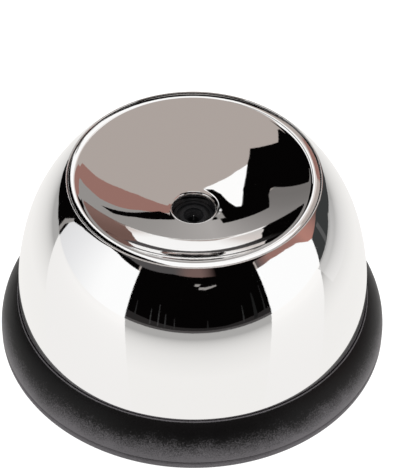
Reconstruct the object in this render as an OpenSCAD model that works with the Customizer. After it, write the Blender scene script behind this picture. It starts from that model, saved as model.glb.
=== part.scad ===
// Egg piercer: a press-down dish over a fixed needle, in a weighted dome.
// Millimetres. The underside of the rubber base stands on z = 0, +Z is up.
// An egg set in the dish pushes it down against a spring, and the needle
// comes up through the hole in the middle of the dish.

/* [Dome] */
// Outer radius of the dome's upright lower wall
dome_r = 28.9; // [26:0.1:30]
// Radius of the lower arc of the dome's side
dome_lower_arc = 47; // [40:1:60]
// Height at which the side starts to lean in
dome_upright_z = 9.6; // [8.8:0.1:11]
// Part of a turn taken by the lower arc, in degrees
dome_lower_angle = 15; // [12:1:18]
// Radius of the upper arc of the dome's side
dome_upper_arc = 30; // [28:0.5:32]
// Thickness of the dome's steel
dome_wall = 0.7; // [0.5:0.1:1]
// Outer radius of the sharp bend where the opening's edge turns down
dome_lip_r = 0.15; // [0.1:0.05:0.3]
// Height of the straight edge below that bend
dome_lip_drop = 2.9; // [2.4:0.1:3.2]

/* [Dish] */
// Outer radius of the dish
dish_r = 20.12; // [19:0.02:21]
// Depth of the dish's rim below the top of the dome, when nothing presses on it
dish_drop = 0.15; // [0.05:0.05:0.4]
// Thickness of the dish's steel
dish_wall = 0.6; // [0.4:0.1:0.7]
// Outward fall of the dish's rim, in degrees
rim_tilt = 4; // [2:1:6]
// Bevel on the rim's outer edge
rim_bevel = 0.08; // [0.04:0.02:0.2]
// Radius of the soft shoulder between rim and bowl
shoulder_r = 1.7; // [1.3:0.1:2.1]
// Distance of the shoulder's crest from the dish's edge
shoulder_inset = 0.78; // [0.7:0.02:1]
// Depth of the bowl below the shoulder's crest
bowl_depth = 6.7; // [6.3:0.1:7.1]
// Radius of the hole for the needle
hole_r = 3.35; // [3:0.05:3.8]
// Radius of the bend where the hole's edge turns down
hole_lip_r = 0.9; // [0.7:0.1:1.1]
// Length of the collar below that bend
collar_h = 2.6; // [2:0.1:3]
// Gap all round between the dish and the dome's opening
dish_gap = 0.12; // [0.1:0.02:0.3]

/* [Rubber base] */
// How far the rubber stands out from the dome's upright wall
rubber_w = 3.1; // [2.6:0.1:4]
// Height at which the rubber meets the dome
rubber_top_z = 8.4; // [7.6:0.1:8.8]
// Radius of the rubber's rounded flank
rubber_flank_r = 8.1; // [7:0.1:10]
// Height of the thin lip below the moulding line
foot_lip_h = 1.5; // [1.2:0.1:1.8]
// Depth of the moulding line
crease_depth = 0.25; // [0.15:0.05:0.4]
// Width of the foot ring
foot_w = 7; // [6:0.1:8]
// Thickness of the foot ring below the base plate
foot_h = 1.6; // [1.4:0.1:2]
// Depth of the grip grooves in the foot ring
grip_depth = 0.5; // [0.3:0.1:0.8]

/* [Base plate and frame] */
// How far the base plate's edge reaches into the rubber, past the dome
plate_edge = 1.1; // [0.8:0.1:1.5]
// Thickness of the base plate
plate_h = 2; // [1.6:0.1:2.6]
// Distance of the three screws from the dome's upright wall
screw_inset = 5.9; // [5.7:0.1:6.1]
// Height of the screw pads above the base plate
pad_h = 1.6; // [1.4:0.1:2]
// Radius of the screw columns
column_r = 2.4; // [2.2:0.1:2.6]
// Thickness of the frame's top ring
frame_wall = 1.8; // [1.4:0.1:2]
// Height of the frame's top ring
frame_ring_h = 7.7; // [7:0.1:9]
// Drop from the dome's turned-down edge to the frame's top ring
frame_drop = 3; // [2.6:0.1:3.4]
// Width of the keys that stop the dish from turning
key_w = 2; // [1.6:0.1:2.6]
// How far the keys reach into the carrier's flange
key_reach = 0.75; // [0.6:0.05:0.9]
// Thickness of the ribs on base plate and dish carrier
rib_w = 1.2; // [0.8:0.1:1.6]

/* [Weight] */
// Inner radius of the steel weight
weight_in_r = 8; // [7.6:0.1:9]
// Distance of the steel weight from the dome's upright wall
weight_inset = 10.9; // [10.9:0.1:14]
// Thickness of the steel weight
weight_h = 5; // [3:0.5:5]

/* [Needle and guide] */
// Outer radius of the guide tube
tube_r = 3.5; // [3.3:0.1:3.6]
// Bore radius of the guide tube
tube_bore_r = 2.6; // [2.4:0.1:2.8]
// Gap left above the guide tube when the dish is fully down
tube_gap = 0.94; // [0.8:0.02:1.6]
// Width of the guide tube's foot flange
tube_flange_w = 1.3; // [1:0.1:1.6]
// Thickness of the guide tube's foot flange
tube_flange_h = 0.8; // [0.6:0.1:1]
// Radius of the needle
needle_r = 0.6; // [0.5:0.05:0.7]
// Depth of the needle's tip below the bowl's floor at rest
needle_hide = 1.8; // [1.6:0.1:2.2]
// Length of the needle's ground point
needle_point_h = 2.6; // [2:0.1:4]
// Height of the needle's lower end
needle_foot_z = 6; // [5:0.5:8]

/* [Plunger and spring] */
// Travel of the dish, rest to fully pressed
travel = 5; // [4:0.1:5.1]
// Radial running gap between hub and guide tube
hub_gap = 0.07; // [0.05:0.01:0.1]
// Outer radius of the carrier's hub
hub_r = 5.2; // [5:0.1:5.3]
// Lower end of the hub at rest
hub_foot_z = 11.2; // [11.2:0.1:12]
// Thickness of the carrier's web
web_h = 1.6; // [1.2:0.1:2]
// How far the carrier's flange reaches under the dome's edge
flange_reach = 0.85; // [0.75:0.05:0.95]
// Thickness of the carrier's flange
flange_h = 1; // [0.8:0.1:1.4]
// Thickness of the felt pads on the flange
felt_h = 0.6; // [0.4:0.1:0.7]
// Wire diameter of the spring
spring_wire = 1; // [0.7:0.1:1]
// Gap between the hub and the spring's coils
spring_gap = 0.45; // [0.4:0.05:0.5]
// Number of turns of the spring
spring_turns = 7; // [5:1:9]
// Drop from the bowl's floor to the spring's upper seat
spring_seat_drop = 2.9; // [2.5:0.1:3.3]
// Thickness of the spring's steel washers
washer_h = 0.6; // [0.4:0.1:0.8]
// Thickness of the rubber stop washer
stop_h = 1; // [0.8:0.1:1.4]

/* [Base screws] */
// Radius of the screws' heads
screw_head_r = 2.7; // [2.4:0.1:2.8]
// Height of the screws' heads
screw_head_h = 1.5; // [1.2:0.1:1.6]
// Radius of the screws' shanks
screw_r = 1.2; // [1:0.1:1.4]
// Length of the shank below the head
screw_l = 10; // [8:0.5:12]
// Thickness of plastic between a screw's head and its column
screw_seat_h = 1.8; // [1.4:0.1:2]

/* [Hidden] */
$fn = 96;
// Assembly gap between neighbouring pieces that don't move on each other
seat = 0.05;
// A little more than enough, for cuts that run past a face
over = 1;
// Larger than the whole piercer, for half planes
big = 200;
// How far a rounding reaches into the arc or face that it runs out in
run_out = 0.001;

// Heights and radii that follow from the sizes above
plate_z = foot_h;
plate_top_z = plate_z + plate_h;
plate_r = dome_r + plate_edge;
rubber_r = dome_r + rubber_w;
foot_in_r = rubber_r - foot_w;
opening_r = dish_r + dish_gap;
dome_lower_c = [dome_r - dome_lower_arc, dome_upright_z];
arc_step = dome_lower_arc - dome_upper_arc;
dome_upper_c = [
  dome_lower_c[0] + arc_step * cos(dome_lower_angle),
  dome_lower_c[1] + arc_step * sin(dome_lower_angle)
];
lip_c_r = opening_r + dome_lip_r;
lip_reach = dome_upper_arc - dome_lip_r;
lip_c_z = dome_upper_c[1] + sqrt(pow(lip_reach, 2) - pow(lip_c_r - dome_upper_c[0], 2));
lip_c = [lip_c_r, lip_c_z];
lip_angle = atan2(lip_c_z - dome_upper_c[1], lip_c_r - dome_upper_c[0]);
dome_lip_end_z = lip_c_z - dome_lip_drop;

dish_top_z = lip_c_z + dome_lip_r - dish_drop;
shoulder_c = [dish_r - shoulder_inset, dish_top_z - shoulder_r];
shoulder_run_r = shoulder_r - run_out;
rim_in = shoulder_c + shoulder_run_r * [sin(rim_tilt), cos(rim_tilt)];
rim_edge_z = rim_in[1] - (dish_r - rim_in[0]) * tan(rim_tilt);
rim_under_z = rim_edge_z - dish_wall;
bowl_floor_z = dish_top_z - bowl_depth;
deep = bowl_depth - shoulder_r;
bowl_arc = (pow(shoulder_c[0], 2) + pow(deep, 2) - pow(shoulder_run_r, 2)) / (2 * (shoulder_run_r + deep));
bowl_c_z = bowl_floor_z + bowl_arc;
bowl_edge_angle = atan2(shoulder_c[1] - bowl_c_z, shoulder_c[0]);
skirt_in_r = dish_r - dish_wall;
hole_lip_c_r = hole_r + hole_lip_r;
hole_lip_c_z = bowl_c_z - sqrt(pow(bowl_arc + hole_lip_r, 2) - pow(hole_lip_c_r, 2));
collar_end_z = hole_lip_c_z - collar_h;
collar_out_r = hole_r + dish_wall;

flange_r = opening_r + flange_reach;
flange_top_z = dome_lip_end_z - felt_h - 2 * seat;
flange_low_z = flange_top_z - flange_h;
rim_wall = 1.5;
rim_out_r = skirt_in_r - seat;
rim_top_z = rim_under_z - seat;
web_top_arc = bowl_arc + dish_wall + seat;
web_low_arc = web_top_arc + web_h;
spring_r = hub_r + spring_gap + spring_wire / 2;
spring_out_r = spring_r + spring_wire / 2;
spring_seat_z = bowl_floor_z - spring_seat_drop;
hub_bore_r = tube_r + hub_gap;
boss_top_z = hub_foot_z - travel - stop_h - seat;

bush_r = hole_r - seat;
bush_foot_drop = 0.6;
bush_foot_z = collar_end_z - bush_foot_drop;
needle_tip_z = bowl_floor_z - needle_hide;
bush_top_z = needle_tip_z + 0.1;
tube_top_z = bush_foot_z - travel - tube_gap;
tube_flange_r = tube_r + tube_flange_w;

pad_top_z = plate_top_z + pad_h;
screw_ring_r = dome_r - screw_inset;
screw_head_top_z = pad_top_z - screw_seat_h;
screw_angles = [90, 210, 330];
weight_r = dome_r - weight_inset;
frame_top_z = dome_lip_end_z - frame_drop;
frame_ring_z = frame_top_z - frame_ring_h;
key_angles = [30, 150, 270];
key_gap = 0.3;
key_in_r = flange_r - key_reach;
notch_w = key_w + 2 * key_gap;

// Half of the plane on one side of a line through p, for angle a
module half_plane(p, a, side) {
  translate(p) rotate(a) translate([-big, side > 0 ? 0 : -2 * big]) square([2 * big, 2 * big]);
}

// Filled outline of the dome, drawn in by inset. The upper arc's circle lies
// inside the lower arc's below their joint, so the two parts can overlap there.
module dome_outline(inset) {
  lap_angle = 5;
  intersection() {
    union() {
      intersection() {
        translate(dome_lower_c) circle(dome_lower_arc - inset);
        half_plane(dome_lower_c, dome_lower_angle, -1);
        square([big, big]);
      }
      intersection() {
        translate(dome_upper_c) circle(dome_upper_arc - inset);
        half_plane(dome_lower_c, dome_lower_angle - lap_angle, 1);
      }
      translate([0, -over]) square([dome_r - inset, dome_upright_z + over]);
    }
    translate([0, -over]) square([big, big]);
  }
}

// A ring from one radius to another, between two heights
module ring(r_in, r_out, z0, z1) {
  translate([0, 0, z0])
    difference() {
      cylinder(r = r_out, h = z1 - z0);
      translate([0, 0, -over]) cylinder(r = r_in, h = z1 - z0 + 2 * over);
    }
}

// Rectangle in the section plane, from one corner to the other
module block(r0, z0, r1, z1) {
  translate([r0, z0]) square([r1 - r0, z1 - z0]);
}

// Drawn steel dome with its opening's edge turned down
module dome_shell() {
  lap_angle = 2;
  lap = 0.1;
  color("silver")
    rotate_extrude() {
      difference() {
        dome_outline(0);
        difference() {
          dome_outline(dome_wall);
          block(lip_c_r, dome_lip_end_z, opening_r + dome_wall, big);
        }
        half_plane(lip_c, lip_angle, 1);
        block(-over, -over, opening_r, big);
        block(-over, -2 * over, big, plate_top_z);
      }
      difference() {
        translate(lip_c) circle(dome_lip_r);
        half_plane(lip_c, lip_angle - lap_angle, -1);
        block(-over, -over, lip_c_r, lip_c_z);
      }
      block(opening_r, dome_lip_end_z, lip_c_r + lap, lip_c_z);
    }
}

// Moulded rubber ring that grips the dome and the edge of the base plate
module rubber_base() {
  chord = [rubber_r - dome_r, rubber_top_z - foot_lip_h];
  chord_l = norm(chord);
  rise = sqrt(pow(rubber_flank_r, 2) - pow(chord_l / 2, 2));
  flank_c = [
    (rubber_r + dome_r) / 2 - rise * chord[1] / chord_l,
    (rubber_top_z + foot_lip_h) / 2 - rise * chord[0] / chord_l
  ];
  crease_h = 0.3;
  crease_drop = 0.05;
  grip_w = 0.8;
  grip_inset = 2;
  grip_pitch = 2.4;
  color("dimgray")
    rotate_extrude()
      difference() {
        union() {
          intersection() {
            translate(flank_c) circle(rubber_flank_r);
            block(dome_r - over, foot_lip_h, rubber_r, rubber_top_z);
          }
          block(foot_in_r, 0, rubber_r - crease_depth, foot_lip_h + crease_h);
          block(foot_in_r, foot_lip_h, dome_r, rubber_top_z);
          translate([rubber_r - foot_lip_h / 2, foot_lip_h / 2]) circle(foot_lip_h / 2);
          block(foot_in_r, 0, rubber_r - foot_lip_h / 2, foot_lip_h);
        }
        block(-over, plate_top_z - over, dome_r + seat, rubber_top_z + over);
        block(-over, plate_z, plate_r + seat, plate_top_z + seat);
        translate([rubber_r, foot_lip_h + crease_h / 2 - crease_drop]) circle(crease_depth);
        for (k = [0, 1]) {
          translate([foot_in_r + grip_inset + k * grip_pitch, 0])
            block(-grip_w / 2, -over, grip_w / 2, grip_depth);
        }
      }
}

// Moulded base plate: screw pads, tray for the weight, boss for the guide tube
module base_plate() {
  tray_gap = 0.3;
  tray_in_r = weight_r + tray_gap;
  tray_wall = 0.9;
  tray_mid_r = tray_in_r + tray_wall / 2;
  tray_h = 2.4;
  pad_wall = 1.2;
  spigot_r = dome_r - dome_wall - seat;
  spigot_h = 1.6;
  color("black")
    difference() {
      union() {
        translate([0, 0, plate_z]) cylinder(r = plate_r, h = plate_h);
        ring(spigot_r - rib_w, spigot_r, plate_top_z, plate_top_z + spigot_h);
        ring(tray_in_r, tray_in_r + tray_wall, plate_top_z, plate_top_z + tray_h);
        translate([0, 0, plate_z]) cylinder(r = hub_r, h = boss_top_z - plate_z);
        for (a = screw_angles) {
          rotate(a) translate([screw_ring_r, 0, plate_z]) {
            cylinder(r = column_r + pad_wall, h = pad_top_z - plate_z);
          }
        }
        for (a = [0 : 30 : 330]) {
          rotate(a) translate([tray_mid_r, -rib_w / 2, plate_z]) {
            cube([spigot_r - rib_w / 2 - tray_mid_r, rib_w, plate_h + spigot_h]);
          }
        }
      }
      for (a = screw_angles) {
        rotate(a) translate([screw_ring_r, 0, 0]) screw_hole();
      }
      cylinder(r = tube_r, h = big);
      cylinder(r = tube_flange_r + seat, h = plate_z + tube_flange_h + seat);
    }
}

// Counterbored hole for one base screw
module screw_hole() {
  head_gap = 0.2;
  shank_gap = 0.45;
  cylinder(r = screw_head_r + head_gap, h = screw_head_top_z);
  cylinder(r = screw_r + shank_gap, h = pad_top_z + over);
}

// Frame that holds the dome down: three screw columns and a ring inside the dome
module inner_frame() {
  ring_in_r = flange_r + 0.5;
  ring_gap = 0.1;
  pilot_r = screw_r + 0.05;
  column_gap = 0.6;
  column_top_z = flange_low_z - travel - column_gap;
  key_low_z = column_top_z - 0.6;
  key_top_z = dome_lip_end_z - 0.6;
  color([0.12, 0.12, 0.12])
    difference() {
      union() {
        rotate_extrude()
          difference() {
            dome_outline(dome_wall + ring_gap);
            dome_outline(dome_wall + ring_gap + frame_wall);
            block(-over, -over, big, frame_ring_z);
            block(-over, frame_top_z, big, big);
            block(-over, -over, ring_in_r, big);
          }
        intersection() {
          for (a = screw_angles) {
            rotate(a) translate([screw_ring_r, 0, pad_top_z]) {
              cylinder(r = column_r, h = column_top_z - pad_top_z);
              translate([0, -rib_w / 2, 0]) {
                cube([dome_r - screw_ring_r, rib_w, column_top_z - pad_top_z]);
              }
            }
          }
          rotate_extrude() dome_outline(dome_wall + ring_gap);
        }
        for (a = key_angles) {
          rotate(a) translate([key_in_r, -key_w / 2, key_low_z]) {
            cube([ring_in_r + 0.2 - key_in_r, key_w, key_top_z - key_low_z]);
          }
        }
        intersection() {
          for (a = key_angles) {
            rotate(a) translate([key_in_r, -key_w / 2, key_low_z]) {
              cube([dome_r - key_in_r, key_w, frame_top_z - key_low_z]);
            }
          }
          rotate_extrude() dome_outline(dome_wall + ring_gap);
        }
      }
      for (a = screw_angles) {
        rotate(a) translate([screw_ring_r, 0, pad_top_z - over]) {
          cylinder(r = pilot_r, h = screw_l + over);
        }
      }
    }
}

// Steel ring that lies in the base plate's tray and keeps the piercer steady
module steel_weight() {
  edge = 0.5;
  color("slategray")
    rotate_extrude()
      polygon([
        [weight_in_r, plate_top_z], [weight_r, plate_top_z],
        [weight_r, plate_top_z + weight_h - edge], [weight_r - edge, plate_top_z + weight_h],
        [weight_in_r + edge, plate_top_z + weight_h], [weight_in_r, plate_top_z + weight_h - edge]
      ]);
}

// Three pan-head screws from below
module base_screws() {
  slot_l = 3;
  slot_w = 0.6;
  slot_h = 0.8;
  color("gainsboro")
    for (a = screw_angles) {
      rotate(a) translate([screw_ring_r, 0, screw_head_top_z]) {
        difference() {
          translate([0, 0, -screw_head_h]) cylinder(r = screw_head_r, h = screw_head_h);
          for (t = [0, 90]) {
            rotate(t) translate([-slot_l / 2, -slot_w / 2, -screw_head_h - over]) {
              cube([slot_l, slot_w, slot_h + over]);
            }
          }
        }
        cylinder(r = screw_r, h = screw_l);
      }
    }
}

// Soft disc stuck under the base plate, over the screws
module sole_disc() {
  sole_z = 0.3;
  edge_gap = 0.4;
  color([0.2, 0.2, 0.2])
    translate([0, 0, sole_z])
      cylinder(r = foot_in_r - edge_gap, h = plate_z - sole_z);
}

// Steel tube pressed into the base plate from below, which the hub slides on
module guide_tube() {
  bevel = 0.4;
  color("lightgray")
    rotate_extrude()
      polygon([
        [tube_bore_r, plate_z], [tube_flange_r, plate_z],
        [tube_flange_r, plate_z + tube_flange_h], [tube_r, plate_z + tube_flange_h],
        [tube_r, tube_top_z - bevel], [tube_r - bevel, tube_top_z], [tube_bore_r, tube_top_z]
      ]);
}

// Brass slug in the guide tube that carries the needle
module needle_holder() {
  holder_z = plate_z + 0.6;
  nose_h = 2;
  nose_wall = 0.8;
  holder_top_z = tube_top_z - nose_h;
  fit_gap = 0.04;
  slot_w = 0.8;
  slot_h = 1.2;
  color("goldenrod")
    difference() {
      union() {
        translate([0, 0, holder_z]) {
          cylinder(r = tube_bore_r - fit_gap, h = holder_top_z - holder_z);
        }
        translate([0, 0, holder_top_z]) cylinder(r = needle_r + nose_wall, h = nose_h);
      }
      translate([0, 0, needle_foot_z]) cylinder(r = needle_r + fit_gap / 2, h = big);
      translate([-big / 2, -slot_w / 2, holder_z - over]) cube([big, slot_w, slot_h + over]);
    }
}

// Hardened needle with a ground point
module needle() {
  tip_r = 0.04;
  color("whitesmoke")
    rotate_extrude()
      polygon([
        [0, needle_foot_z], [needle_r, needle_foot_z],
        [needle_r, needle_tip_z - needle_point_h], [tip_r, needle_tip_z], [0, needle_tip_z]
      ]);
}

// Rubber washer on the boss that the hub lands on
module stop_ring() {
  color([0.15, 0.15, 0.15])
    ring(tube_r + seat, hub_r - 0.1, boss_top_z, boss_top_z + stop_h);
}

// Steel washer below the spring
module lower_washer() {
  color("silver")
    ring(hub_r + seat, spring_out_r + 0.6, plate_top_z, plate_top_z + washer_h);
}

// Steel washer above the spring
module upper_washer() {
  color("silver")
    ring(hub_r + seat, spring_out_r + 0.2, spring_seat_z - washer_h, spring_seat_z);
}

// Height of the spring wire's middle after t turns, with flat end turns
function coil_z(t, z0, z1) =
  let (flat = 1, pitch_turns = spring_turns - 2 * flat,
       u = min(max((t - flat) / pitch_turns, 0), 1), s = spring_wire * 1.02)
  z0 + s * min(t, flat) + s * max(t - spring_turns + flat, 0)
  + u * (z1 - z0 - 2 * s * flat);

// Compression spring round the hub
module return_spring() {
  steps = 20;
  sides = 8;
  z0 = plate_top_z + washer_h + spring_wire / 2;
  z1 = spring_seat_z - washer_h - spring_wire / 2;
  rings = spring_turns * steps;
  pts = [
    for (i = [0 : rings], k = [0 : sides - 1])
      let (a = 360 * i / steps, b = 360 * k / sides,
           r = spring_r + spring_wire / 2 * cos(b),
           z = coil_z(i / steps, z0, z1) + spring_wire / 2 * sin(b))
      [r * cos(a), r * sin(a), z]
  ];
  faces = [
    [for (k = [0 : sides - 1]) k],
    [for (k = [sides - 1 : -1 : 0]) rings * sides + k],
    for (i = [0 : rings - 1], k = [0 : sides - 1])
      let (n = (k + 1) % sides)
      [i * sides + k, (i + 1) * sides + k, (i + 1) * sides + n, i * sides + n]
  ];
  color("lightsteelblue") polyhedron(pts, faces, convexity = 8);
}

// Moulded carrier below the dish: hub, ribbed web, rim and stop flange
module dish_carrier() {
  cup_wall = 0.9;
  cup_h = 1.2;
  cup_r = spring_out_r + 0.35;
  cup_top_z = bowl_c_z - web_top_arc;
  rib_foot_r = cup_r + cup_wall / 2;
  color([0.1, 0.1, 0.1])
    difference() {
      union() {
        rotate_extrude() {
          // Hub with the counterbore for the dish's collar
          difference() {
            block(0, hub_foot_z, hub_r, bowl_c_z);
            block(-over, hub_foot_z - over, hub_bore_r, bush_foot_z - seat);
            block(-over, bush_foot_z - over, collar_out_r + seat, bowl_c_z + over);
            translate([0, bowl_c_z]) circle(web_top_arc);
          }
          // Spring cup
          block(hub_r - seat, spring_seat_z, cup_r + cup_wall, cup_top_z);
          block(cup_r, spring_seat_z - cup_h, cup_r + cup_wall, cup_top_z);
          // Web that carries the bowl
          difference() {
            translate([0, bowl_c_z]) circle(web_low_arc);
            translate([0, bowl_c_z]) circle(web_top_arc);
            block(-big, -big, hub_r - seat, big);
            block(rim_out_r - rim_wall / 2, -big, big, big);
            block(-big, bowl_c_z, big, big);
          }
          // Rim inside the dish's skirt, and the flange below it
          difference() {
            block(rim_out_r - rim_wall, flange_low_z, rim_out_r, rim_top_z);
            translate([0, bowl_c_z]) circle(web_top_arc);
          }
          block(rim_out_r - rim_wall, flange_low_z, flange_r, flange_top_z);
        }
        carrier_ribs(rib_foot_r);
      }
      for (a = key_angles) {
        rotate(a) translate([key_in_r - key_gap, -notch_w / 2, flange_low_z - over]) {
          cube([key_reach + key_gap + over, notch_w, flange_h + 2 * over]);
        }
      }
    }
}

// Eight straight ribs from the spring cup to the rim
module carrier_ribs(foot_r) {
  rib_low_z = spring_seat_z - 0.6;
  rib_foot_h = 4;
  rim_r = rim_out_r - rim_wall / 2;
  intersection() {
    for (a = [0 : 45 : 315]) {
      rotate(a) rotate([90, 0, 0]) translate([0, 0, -rib_w / 2])
        linear_extrude(rib_w)
          polygon([
            [foot_r, rib_low_z], [rim_r, flange_low_z],
            [rim_r, rim_top_z], [foot_r, rib_low_z + rib_foot_h]
          ]);
    }
    rotate_extrude()
      difference() {
        block(0, 0, dish_r, bowl_c_z);
        translate([0, bowl_c_z]) circle(web_top_arc + web_h / 2);
      }
  }
}

// Pressed dish: rim, shoulder, bowl, turned-down hole and skirt
module egg_dish() {
  bevel_z = rim_edge_z + rim_bevel * tan(rim_tilt);
  color("gainsboro")
    rotate_extrude() {
      difference() {
        union() {
          polygon([
            [shoulder_c[0], flange_top_z], [dish_r, flange_top_z], [dish_r, rim_edge_z - rim_bevel],
            [dish_r - rim_bevel, bevel_z], rim_in, shoulder_c
          ]);
          intersection() {
            translate(shoulder_c) circle(shoulder_r);
            block(0, flange_top_z, dish_r - rim_bevel, big);
          }
          difference() {
            translate([0, bowl_c_z]) circle(bowl_arc + dish_wall);
            half_plane([0, bowl_c_z], bowl_edge_angle, 1);
            block(-big, -big, hole_lip_c_r, big);
          }
        }
        translate([0, bowl_c_z]) circle(bowl_arc);
        difference() {
          block(0, flange_top_z - over, skirt_in_r, rim_under_z);
          translate([0, bowl_c_z]) circle(bowl_arc + dish_wall);
          block(-over, 0, hole_lip_c_r, big);
        }
      }
      // Bend and collar of the hole
      difference() {
        translate([hole_lip_c_r, hole_lip_c_z]) circle(hole_lip_r);
        translate([hole_lip_c_r, hole_lip_c_z]) circle(hole_lip_r - dish_wall);
        block(-over, 0, big, hole_lip_c_z);
        block(hole_lip_c_r, 0, big, big);
      }
      block(hole_r, collar_end_z, collar_out_r, hole_lip_c_z);
    }
}

// Black bush in the dish's hole, with stepped rings round the needle
module needle_bush() {
  bore_r = needle_r + 0.35;
  cone_h = 1.2;
  cone_w = 0.7;
  groove_in_r = 2.3;
  groove_w = 0.5;
  ring_step = 0.3;
  color([0.05, 0.05, 0.05])
    rotate_extrude()
      difference() {
        block(bore_r, bush_foot_z, bush_r, bush_top_z);
        polygon([
          [0, bush_top_z - cone_h], [bore_r, bush_top_z - cone_h],
          [bore_r + cone_w, bush_top_z - ring_step], [bore_r + cone_w, bush_top_z + over],
          [0, bush_top_z + over]
        ]);
        translate([groove_in_r, bush_top_z]) block(0, -ring_step, groove_w, over);
      }
}

// Three thin felt arcs on the flange, which quiet the return stroke
module felt_pads() {
  felt_in_r = dish_r + 0.1;
  color([0.25, 0.25, 0.25])
    difference() {
      ring(felt_in_r, flange_r - seat, flange_top_z, flange_top_z + felt_h);
      for (a = key_angles) {
        rotate(a) translate([felt_in_r - over, -notch_w / 2, flange_top_z - over]) {
          cube([flange_r - felt_in_r + 2 * over, notch_w, felt_h + 2 * over]);
        }
      }
    }
}

dome_shell();
rubber_base();
base_plate();
inner_frame();
steel_weight();
base_screws();
sole_disc();
guide_tube();
needle_holder();
needle();
stop_ring();
lower_washer();
return_spring();
upper_washer();
dish_carrier();
egg_dish();
needle_bush();
felt_pads();
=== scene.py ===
# Egg piercer: a chromed dome on a rubber base, with a sprung dish over a fixed needle.
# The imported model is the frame. Sizes are in millimetres unless a name says otherwise.
import math

import bmesh
import bpy
from mathutils import Matrix, Vector, geometry


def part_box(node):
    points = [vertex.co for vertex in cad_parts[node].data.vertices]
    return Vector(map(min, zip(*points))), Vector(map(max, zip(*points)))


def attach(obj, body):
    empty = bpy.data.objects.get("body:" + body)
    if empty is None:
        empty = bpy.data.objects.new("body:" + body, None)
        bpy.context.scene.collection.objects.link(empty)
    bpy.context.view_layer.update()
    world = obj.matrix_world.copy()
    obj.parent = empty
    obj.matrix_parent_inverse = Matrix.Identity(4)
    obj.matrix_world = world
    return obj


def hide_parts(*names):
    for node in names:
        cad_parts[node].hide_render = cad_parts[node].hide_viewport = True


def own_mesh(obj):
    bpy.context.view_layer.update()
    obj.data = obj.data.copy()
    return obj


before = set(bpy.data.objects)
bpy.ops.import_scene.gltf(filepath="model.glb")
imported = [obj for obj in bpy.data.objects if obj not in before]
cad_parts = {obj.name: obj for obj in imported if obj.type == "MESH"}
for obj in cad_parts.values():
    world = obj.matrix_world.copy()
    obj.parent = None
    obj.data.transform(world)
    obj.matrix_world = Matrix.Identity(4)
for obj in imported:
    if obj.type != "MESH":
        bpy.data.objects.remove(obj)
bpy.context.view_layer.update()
scene = bpy.context.scene
MM = 0.001


# Camera. It looks down at the dish at about 45 degrees from about 400 mm away,
# through a long lens, so the rims stay nearly true ellipses.
PHOTO_H_PX = 473
FOCAL_PX = 2492
SENSOR = 36
CAMERA_AT = (0, -287.9, 307.6)
CAMERA_YAW = math.radians(0.54)
CAMERA_PITCH = math.radians(44.885)
CAMERA_ROLL = math.radians(-1.136)
CLIP_NEAR = 10
CLIP_FAR = 20000

camera_data = bpy.data.cameras.new("camera")
camera_data.sensor_fit = "AUTO"
camera_data.sensor_width = SENSOR
camera_data.lens = FOCAL_PX / PHOTO_H_PX * SENSOR
camera_data.clip_start = CLIP_NEAR * MM
camera_data.clip_end = CLIP_FAR * MM
camera = bpy.data.objects.new("camera", camera_data)
scene.collection.objects.link(camera)
scene.camera = camera

forward = Vector((
    math.sin(CAMERA_YAW) * math.cos(CAMERA_PITCH),
    math.cos(CAMERA_YAW) * math.cos(CAMERA_PITCH),
    -math.sin(CAMERA_PITCH),
))
level = Vector((math.cos(CAMERA_YAW), -math.sin(CAMERA_YAW), 0))
down = forward.cross(level)
right = math.cos(CAMERA_ROLL) * level + math.sin(CAMERA_ROLL) * down
lower = math.cos(CAMERA_ROLL) * down - math.sin(CAMERA_ROLL) * level
camera.matrix_world = Matrix.Translation(Vector(CAMERA_AT) * MM) @ Matrix(
    (right, -lower, -forward)
).transposed().to_4x4()


# Room. Even white light from all sides. Metal mirrors a beige ceiling where no
# panel stands, and the eye sees plain white behind the piercer.
ROOM_LIGHT = 0.75
CEILING = (0.445, 0.393, 0.366)

scene.view_settings.view_transform = "Standard"


def node(tree, kind, **values):
    """A shader node, with its settings and the values of its named inputs."""
    made = tree.nodes.new(kind)
    for name, value in values.items():
        if hasattr(made, name):
            setattr(made, name, value)
        else:
            made.inputs[name.replace("_", " ")].default_value = value
    return made


def link(tree, source, target):
    """A link from (node, output) to (node, input)."""
    tree.links.new(source[0].outputs[source[1]], target[0].inputs[target[1]])


def chosen(tree, test, otherwise, when_true):
    """A shader that is one of two, by a test of 0 or 1."""
    mix = node(tree, "ShaderNodeMixShader")
    link(tree, test, (mix, 0))
    link(tree, (otherwise, 0), (mix, 1))
    link(tree, (when_true, 0), (mix, 2))
    return mix


world = bpy.data.worlds.new("studio")
scene.world = world
world.use_nodes = True
tree = world.node_tree
tree.nodes.clear()
out = node(tree, "ShaderNodeOutputWorld")
path = node(tree, "ShaderNodeLightPath")
lit = node(tree, "ShaderNodeBackground", Color=(1, 1, 1, 1), Strength=ROOM_LIGHT)
mirrored = node(tree, "ShaderNodeBackground", Color=(*CEILING, 1), Strength=1)
seen = node(tree, "ShaderNodeBackground", Color=(1, 1, 1, 1), Strength=1)
by_mirror = chosen(tree, (path, "Is Glossy Ray"), lit, mirrored)
by_eye = chosen(tree, (path, "Is Camera Ray"), by_mirror, seen)
link(tree, (by_eye, 0), (out, "Surface"))


# Table. White to the eye, with the piercer's faint shadow on it, and fading to
# grey with distance where metal mirrors it. It lies a hair below the rubber.
TABLE_R = 2600
TABLE_SIDES = 64
TABLE_Z = -0.02
TABLE_SEEN = 0.9
TABLE_LIT = 0.25
TABLE_PAINT = 0.8
TABLE_TINT = (1, 0.985, 0.965)
FADE_START = 60
FADE_END = 250
SHINE_NEAR = 0.93
SHINE_FAR = 0.42


def empty_material(name):
    """A material with a node tree that holds only its output."""
    material = bpy.data.materials.new(name)
    material.use_nodes = True
    tree = material.node_tree
    tree.nodes.clear()
    return material, tree, node(tree, "ShaderNodeOutputMaterial")


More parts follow.
